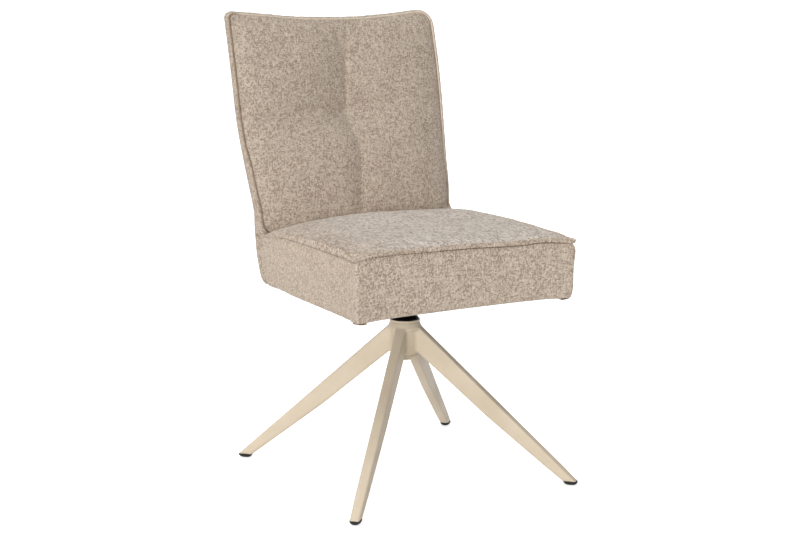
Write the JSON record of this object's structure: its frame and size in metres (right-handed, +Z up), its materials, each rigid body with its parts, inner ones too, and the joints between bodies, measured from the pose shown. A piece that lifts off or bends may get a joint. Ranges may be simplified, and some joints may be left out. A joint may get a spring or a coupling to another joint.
{
  "type": "swivel dining chair",
  "caption": "Upholstered dining chair with a tall tucked back and a welted box seat that turns on a splayed steel base with tapered legs.",
  "frame": {"origin": "where the swivel axis meets the floor, midway between the four glides", "axes": "+Z up along the swivel axis, -Y towards the front of the seat, +X towards the sitter's left"},
  "size_m": [0.4978, 0.5652, 0.8748],
  "materials": {
    "upholstery": "melange beige and taupe loop weave, matt",
    "leg_paint": "satin sand powder coat",
    "black_plastic": "black moulded plastic",
    "gloss_plastic": "black, smooth",
    "black_steel": "black, satin",
    "zinc_steel": "zinc plated",
    "plywood": "raw plywood",
    "beech": "planed beech",
    "foam": "cut upholstery foam",
    "webbing": "elastic webbing",
    "dust_cloth": "black non-woven cloth"
  },
  "bodies": {
    "base": {"leg_front_left": "leg_paint", "leg_front_right": "leg_paint", "leg_rear_left": "leg_paint", "leg_rear_right": "leg_paint", "hub": "leg_paint", "glide_front_left": "black_plastic", "glide_front_right": "black_plastic", "glide_rear_left": "black_plastic", "glide_rear_right": "black_plastic", "upper_bush": "gloss_plastic", "lower_bush": "black_plastic"},
    "seat": {"spindle": "black_steel", "neck_sleeve": "black_steel", "retaining_washer": "zinc_steel", "retaining_ring": "zinc_steel", "swivel_plate": "black_steel", "plate_bolts": "zinc_steel", "tee_nuts": "zinc_steel", "seat_board": "plywood", "front_rail": "beech", "rear_rail": "beech", "side_rail_left": "beech", "side_rail_right": "beech", "corner_blocks": "beech", "seat_webbing": "webbing", "seat_foam": "foam", "seat_cover": "upholstery", "seat_welt": "upholstery", "front_border": "upholstery", "side_border_left": "upholstery", "side_border_right": "upholstery", "dust_cover": "dust_cloth", "back_shell": "plywood", "back_screws": "zinc_steel", "back_foam": "foam", "back_face": "upholstery", "back_piping": "upholstery", "back_band_left": "upholstery", "back_band_right": "upholstery", "rear_cover": "upholstery"}
  },
  "joints": [
    {"name": "seat_swivel", "type": "hinge", "parent": "base", "child": "seat", "pos_m": [0, 0, 0.303], "axis": [0, 0, 1], "continuous": true}
  ]
}
